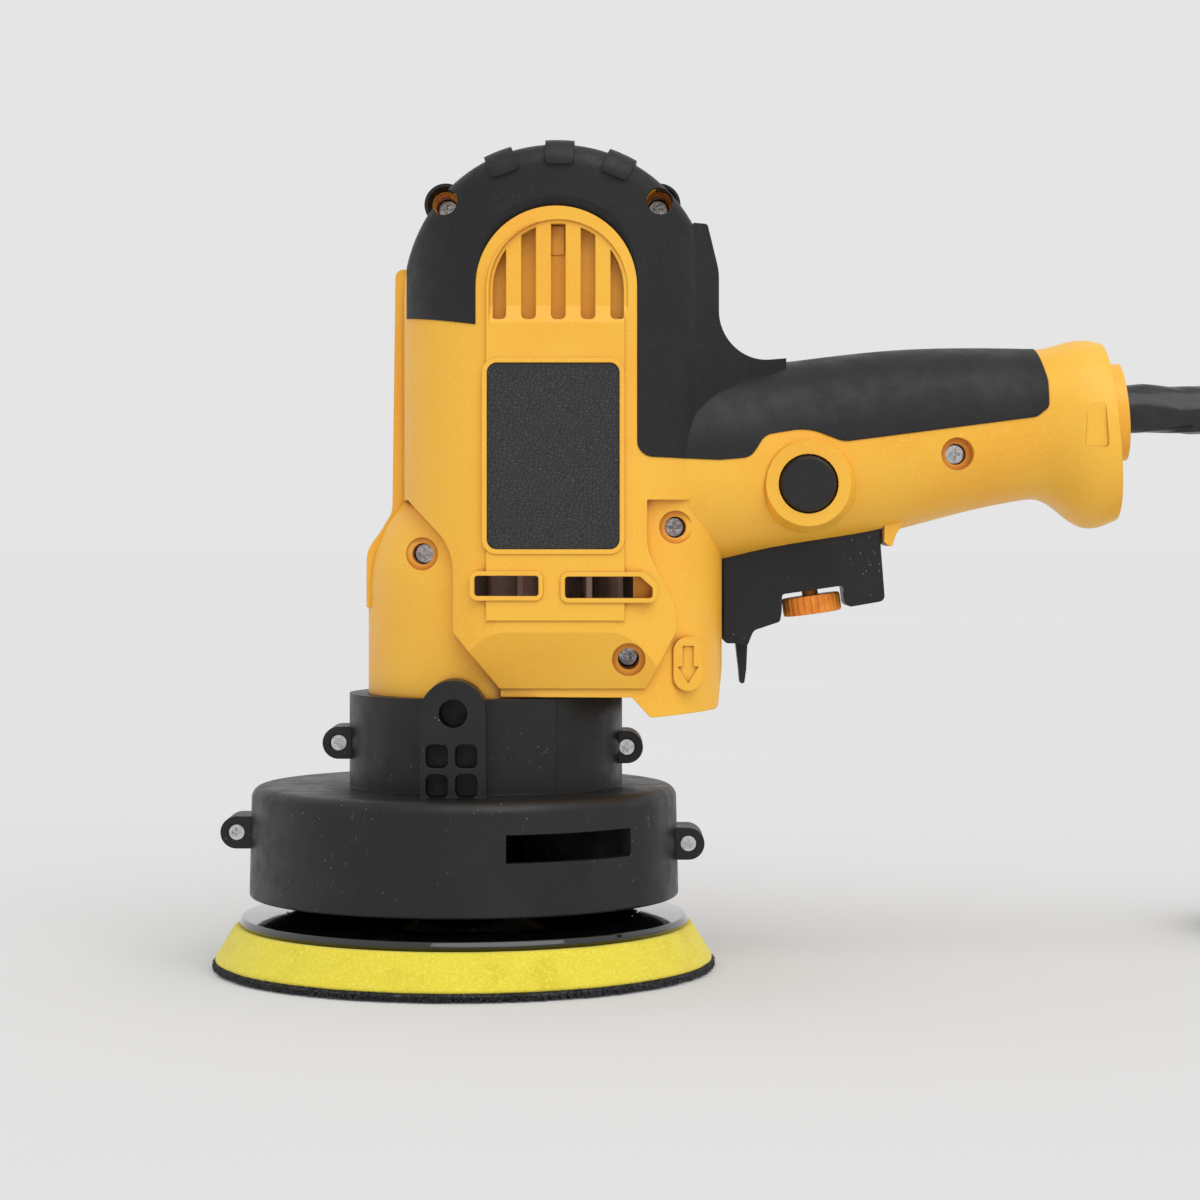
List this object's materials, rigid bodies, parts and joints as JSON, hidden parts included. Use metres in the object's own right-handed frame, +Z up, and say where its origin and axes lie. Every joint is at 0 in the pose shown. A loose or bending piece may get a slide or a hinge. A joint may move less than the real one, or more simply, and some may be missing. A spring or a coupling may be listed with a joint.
{
  "type": "rotary polisher",
  "caption": "Rotary polisher with an upright motor, a rear trigger handle and a round hook-faced pad under a two-part guard.",
  "frame": {"origin": "spindle axis at the pad's lower face", "axes": "+Z up along the spindle, +X towards the rear handle, -Y the tool's left side"},
  "size_m": [0.3638, 0.1805, 0.2031],
  "materials": {
    "yellow_nylon": "moulded nylon, fine spark-eroded texture, satin",
    "black_rubber": "soft overmould, matt",
    "black_plastic": "moulded nylon, satin",
    "label_grain": "fine leather grain, semi-matt",
    "gloss_black": "smooth glossy polyurethane",
    "orange_plastic": "moulded acetal, satin",
    "white_nylon": "natural nylon, satin",
    "yellow_foam": "open-cell polyurethane foam",
    "hook_nylon": "woven hook tape",
    "steel": "machined",
    "zinc_steel": "zinc plated",
    "cast_aluminium": "die cast",
    "bronze": "sintered",
    "brass": "stamped",
    "copper": "enamelled copper wire",
    "lamination": "stacked electrical steel",
    "carbon": "pressed graphite",
    "cord_pvc": "flexible PVC, satin"
  },
  "bodies": {
    "housing": {"left_housing": "yellow_nylon", "right_housing": "yellow_nylon", "left_grip_cover": "black_rubber", "right_grip_cover": "black_rubber", "left_label_plate": "label_grain", "right_label_plate": "label_grain", "housing_screws": "zinc_steel", "guard_left": "black_plastic", "guard_right": "black_plastic", "guard_screws": "zinc_steel", "gear_case": "cast_aluminium", "spindle_bearing": "steel", "spindle_bush": "bronze", "dust_seal": "cord_pvc", "gear_plate": "cast_aluminium", "upper_bearing": "steel", "lower_bearing": "steel", "stator_core": "lamination", "stator_coils": "copper", "brush_holders": "brass", "carbon_brushes": "carbon", "brush_springs": "steel", "lock_spring": "steel", "trigger_spring": "steel", "switch_body": "black_plastic", "motor_leads": "cord_pvc", "supply_lead": "cord_pvc", "cord_clamp": "black_plastic", "clamp_screws": "zinc_steel", "cord_boot": "cord_pvc", "cord": "cord_pvc", "cord_tail": "cord_pvc", "cord_coil": "cord_pvc", "plug_body": "cord_pvc", "plug_pins": "brass"},
    "spindle": {"spindle": "steel", "drive_gear": "steel", "gear_key": "steel", "spindle_circlip": "steel", "pad_hub": "zinc_steel", "backing_plate": "gloss_black", "foam_pad": "yellow_foam", "hook_face": "hook_nylon"},
    "rotor": {"armature_shaft": "steel", "armature_core": "lamination", "armature_windings": "copper", "commutator": "copper", "cooling_fan": "white_nylon", "pinion_gear": "steel"},
    "trigger": {"trigger": "black_plastic", "switch_plunger": "black_plastic"},
    "dial": {"speed_dial": "orange_plastic"},
    "button": {"lock_button": "black_plastic"}
  },
  "joints": [
    {"name": "spindle_spin", "type": "hinge", "parent": "housing", "child": "spindle", "pos_m": [0, 0, 0.05], "axis": [0, 0, 1], "continuous": true},
    {"name": "armature_spin", "type": "hinge", "parent": "housing", "child": "rotor", "pos_m": [0.0235, 0, 0.12], "axis": [0, 0, 1], "continuous": true},
    {"name": "trigger_pull", "type": "slide", "parent": "housing", "child": "trigger", "axis": [0, 0, 1], "range_m": [0, 0.005], "stiffness_N_per_m": 900, "springref_m": -0.005, "deforming": ["trigger_spring"]},
    {"name": "dial_turn", "type": "hinge", "parent": "trigger", "child": "dial", "pos_m": [0.0871, 0, 0.0906], "axis": [-0.1392, 0, 0.9903], "range_deg": [-135, 135]},
    {"name": "lock_press", "type": "slide", "parent": "housing", "child": "button", "axis": [0, 1, 0], "range_m": [0, 0.0025], "stiffness_N_per_m": 500, "springref_m": -0.003, "deforming": ["lock_spring"]}
  ],
  "couplings": [
    {"joint": "armature_spin", "follows": "spindle_spin", "ratio": -4.2222}
  ]
}
